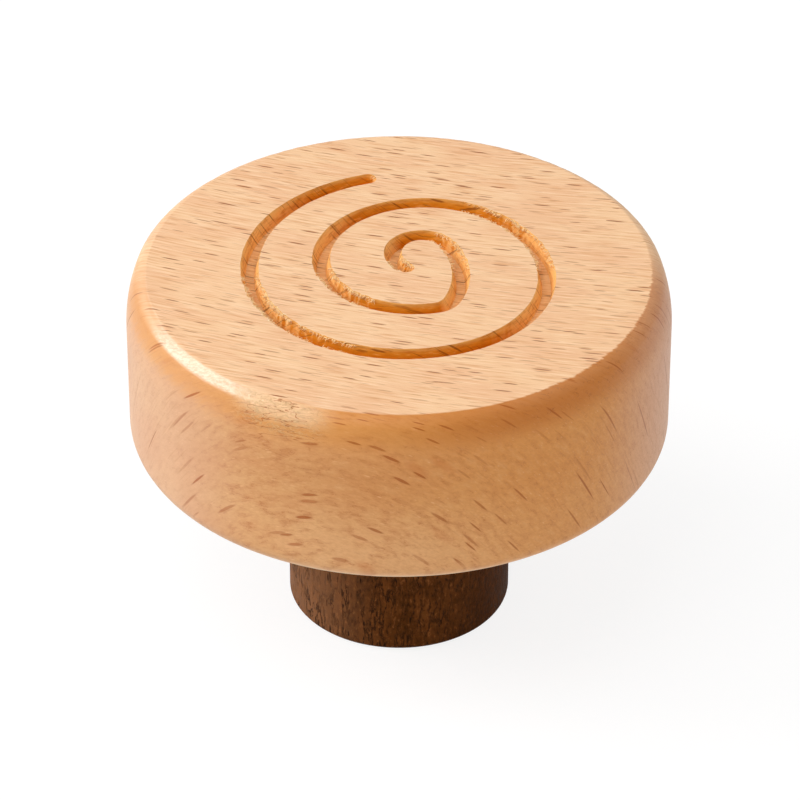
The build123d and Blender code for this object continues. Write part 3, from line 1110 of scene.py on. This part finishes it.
def make_floor():
    half = FLOOR_SIZE / 2
    draft = MeshDraft()
    corners = draft.row([(-half, -half, 0), (half, -half, 0), (half, half, 0), (-half, half, 0)])
    draft.faces.append(tuple(corners))
    floor = draft.object("floor")
    s = Shader("floor")
    path = s.node("ShaderNodeLightPath")
    seen = s.math("MAXIMUM", path.outputs["Is Camera Ray"], path.outputs["Is Glossy Ray"])
    seen = s.math("MAXIMUM", seen, path.outputs["Is Transmission Ray"])
    paint = s.step(seen, 0.0, 1.0, FLOOR_TO_OBJECT, FLOOR_TO_CAMERA)
    matt = s.node("ShaderNodeBsdfDiffuse", {"Color": s.vector(paint, paint, paint)})
    glow = s.node("ShaderNodeEmission", {"Strength": s.product(seen, FLOOR_GLOW)})
    both = s.node("ShaderNodeAddShader", {0: matt.outputs[0], 1: glow.outputs[0]})
    s.tree.links.new(both.outputs[0], s.output.inputs["Surface"])
    give(floor, s.material)


# Even light from all round, at this strength, and lamps that face the knob: where each is, its width
# and height in metres, and its power in watts. The card only shows as a reflection in the sanded crease.
WORLD_LIGHT = 0.47
Lamp = namedtuple("Lamp", "place width height power")
KEY = Lamp((-0.2, -0.30, 0.75), 0.5, 0.5, 2.2)
LEFT = Lamp((-0.57, 0.03, 0.42), 0.4, 0.25, 2.5)
RIGHT = Lamp((0.6, -0.2, 0.3), 0.4, 0.4, 0.3)
CARD = Lamp((-0.55, 0.21, 0.46), 0.3, 0.3, 4.5)


def make_world():
    """Even white light from all round, which the camera sees as white."""
    world = bpy.data.worlds.new("studio")
    world.use_nodes = True
    bpy.context.scene.world = world
    nodes = world.node_tree.nodes
    links = world.node_tree.links
    background = nodes["Background"]
    background.inputs["Color"].default_value = (1, 1, 1, 1)
    path = nodes.new("ShaderNodeLightPath")
    level = nodes.new("ShaderNodeMapRange")
    level.inputs["To Min"].default_value = WORLD_LIGHT
    level.inputs["To Max"].default_value = 1.0
    links.new(path.outputs["Is Camera Ray"], level.inputs["Value"])
    links.new(level.outputs[0], background.inputs["Strength"])


def softbox(name, lamp, target_height):
    """A rectangular lamp that faces a point on the knob's axis."""
    light = bpy.data.lights.new(name, "AREA")
    light.shape = "RECTANGLE"
    light.size = lamp.width
    light.size_y = lamp.height
    light.energy = lamp.power
    holder = bpy.data.objects.new(name, light)
    holder.location = lamp.place
    to_target = Vector((0, 0, target_height)) - Vector(lamp.place)
    holder.rotation_euler = to_target.to_track_quat("-Z", "Y").to_euler()
    bpy.context.scene.collection.objects.link(holder)
    return holder


def make_lights():
    softbox("key", KEY, head_bottom)
    softbox("left", LEFT, head_bottom)
    softbox("right", RIGHT, head_bottom)
    card = softbox("card", CARD, head_top)
    card.visible_diffuse = False


# Camera: fitted to the head's outline and crease and to the stem in the photograph. Its sensor and lens
# are in millimetres, and its shifts are shares of the picture's width.
CAMERA_DISTANCE = 441.2 * MM
CAMERA_ELEVATION = 34.72
CAMERA_TARGET_HEIGHT = 21.27 * MM
CAMERA_SENSOR = 36.0
CAMERA_LENS = 213.75
CAMERA_SHIFT = (0.00114, 0.0006)
CAMERA_NEAREST = 10 * MM


def make_camera():
    lens = bpy.data.cameras.new("camera")
    lens.sensor_width = CAMERA_SENSOR
    lens.lens = CAMERA_LENS
    lens.shift_x, lens.shift_y = CAMERA_SHIFT
    lens.clip_start = CAMERA_NEAREST
    camera = bpy.data.objects.new("camera", lens)
    angle = math.radians(CAMERA_ELEVATION)
    target = Vector((0, 0, CAMERA_TARGET_HEIGHT))
    camera.location = target + CAMERA_DISTANCE * Vector((0, -math.cos(angle), math.sin(angle)))
    camera.rotation_euler = (math.radians(90) - angle, 0, 0)
    bpy.context.scene.collection.objects.link(camera)
    bpy.context.scene.camera = camera


make_camera()
make_world()
make_lights()
make_floor()

head = make_head()
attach(head, "root")
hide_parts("head")

fibres = make_fibres()
give(fibres, fibre_wood())
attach(fibres, "root")

insert = make_insert()
give(insert, brass())
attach(insert, "root")
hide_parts("threaded_insert")

give(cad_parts["stem"], walnut())

bpy.context.scene.view_settings.view_transform = "Standard"
